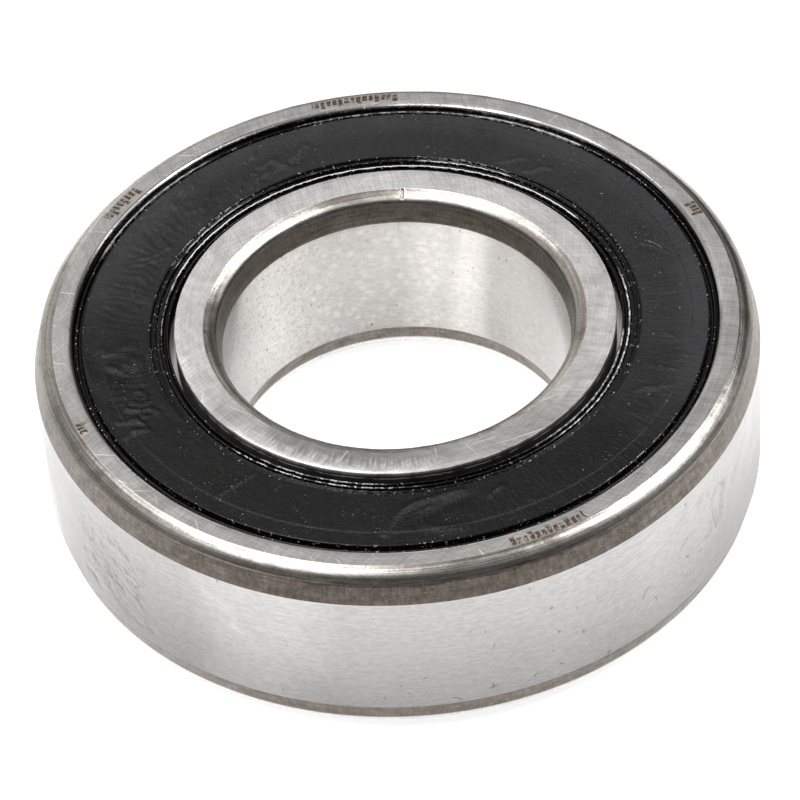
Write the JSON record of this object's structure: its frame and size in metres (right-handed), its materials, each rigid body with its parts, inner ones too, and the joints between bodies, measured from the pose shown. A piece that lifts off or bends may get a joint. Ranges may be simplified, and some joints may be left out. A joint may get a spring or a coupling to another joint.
{
  "type": "sealed deep-groove ball bearing",
  "caption": "Sealed single-row deep-groove ball bearing: steel inner and outer rings turn on a caged row of balls behind black rubber seals.",
  "frame": {"origin": "on the bore's axis, midway across the width", "axes": "+Z along the bore's axis, out of the face that looks up; +X and +Y across it"},
  "size_m": [0.052, 0.052, 0.015],
  "materials": {
    "ring_steel": "ground bearing steel with fine swirl scratches, turned corners left darker",
    "ball_steel": "lapped, mirror-bright",
    "cage_steel": "pressed sheet, satin",
    "rivet_steel": "cold-headed, satin",
    "insert_steel": "phosphated sheet, dull",
    "seal_rubber": "black moulded nitrile rubber, matt, with an oily sheen on the ridges",
    "grease": "pale amber lithium grease, wet"
  },
  "bodies": {
    "outer": {"outer_ring": "ring_steel", "upper_seal_rubber": "seal_rubber", "lower_seal_rubber": "seal_rubber", "upper_seal_insert": "insert_steel", "lower_seal_insert": "insert_steel", "upper_grease_collar": "grease", "lower_grease_collar": "grease"},
    "inner": {"inner_ring": "ring_steel"},
    "cage": {"upper_cage_half": "cage_steel", "lower_cage_half": "cage_steel", "cage_rivets": "rivet_steel"},
    "ball_1": {"ball_1": "ball_steel"},
    "ball_2": {"ball_2": "ball_steel"},
    "ball_3": {"ball_3": "ball_steel"},
    "ball_4": {"ball_4": "ball_steel"},
    "ball_5": {"ball_5": "ball_steel"},
    "ball_6": {"ball_6": "ball_steel"},
    "ball_7": {"ball_7": "ball_steel"},
    "ball_8": {"ball_8": "ball_steel"},
    "ball_9": {"ball_9": "ball_steel"}
  },
  "joints": [
    {"name": "inner_spin", "type": "hinge", "parent": "outer", "child": "inner", "pos_m": [0, 0, 0], "axis": [0, 0, 1], "continuous": true},
    {"name": "cage_spin", "type": "hinge", "parent": "outer", "child": "cage", "pos_m": [0, 0, 0], "axis": [0, 0, 1], "continuous": true},
    {"name": "ball_1_spin", "type": "hinge", "parent": "cage", "child": "ball_1", "pos_m": [0.0195, 0, 0], "axis": [0, 0, 1], "continuous": true},
    {"name": "ball_2_spin", "type": "hinge", "parent": "cage", "child": "ball_2", "pos_m": [0.01494, 0.01253, 0], "axis": [0, 0, 1], "continuous": true},
    {"name": "ball_3_spin", "type": "hinge", "parent": "cage", "child": "ball_3", "pos_m": [0.00339, 0.0192, 0], "axis": [0, 0, 1], "continuous": true},
    {"name": "ball_4_spin", "type": "hinge", "parent": "cage", "child": "ball_4", "pos_m": [-0.00975, 0.01689, 0], "axis": [0, 0, 1], "continuous": true},
    {"name": "ball_5_spin", "type": "hinge", "parent": "cage", "child": "ball_5", "pos_m": [-0.01832, 0.00667, 0], "axis": [0, 0, 1], "continuous": true},
    {"name": "ball_6_spin", "type": "hinge", "parent": "cage", "child": "ball_6", "pos_m": [-0.01832, -0.00667, 0], "axis": [0, 0, 1], "continuous": true},
    {"name": "ball_7_spin", "type": "hinge", "parent": "cage", "child": "ball_7", "pos_m": [-0.00975, -0.01689, 0], "axis": [0, 0, 1], "continuous": true},
    {"name": "ball_8_spin", "type": "hinge", "parent": "cage", "child": "ball_8", "pos_m": [0.00339, -0.0192, 0], "axis": [0, 0, 1], "continuous": true},
    {"name": "ball_9_spin", "type": "hinge", "parent": "cage", "child": "ball_9", "pos_m": [0.01494, -0.01253, 0], "axis": [0, 0, 1], "continuous": true}
  ],
  "couplings": [
    {"joint": "cage_spin", "follows": "inner_spin", "ratio": 0.39823},
    {"joint": "ball_1_spin", "follows": "inner_spin", "ratio": -2.3548},
    {"joint": "ball_2_spin", "follows": "inner_spin", "ratio": -2.3548},
    {"joint": "ball_3_spin", "follows": "inner_spin", "ratio": -2.3548},
    {"joint": "ball_4_spin", "follows": "inner_spin", "ratio": -2.3548},
    {"joint": "ball_5_spin", "follows": "inner_spin", "ratio": -2.3548},
    {"joint": "ball_6_spin", "follows": "inner_spin", "ratio": -2.3548},
    {"joint": "ball_7_spin", "follows": "inner_spin", "ratio": -2.3548},
    {"joint": "ball_8_spin", "follows": "inner_spin", "ratio": -2.3548},
    {"joint": "ball_9_spin", "follows": "inner_spin", "ratio": -2.3548}
  ]
}
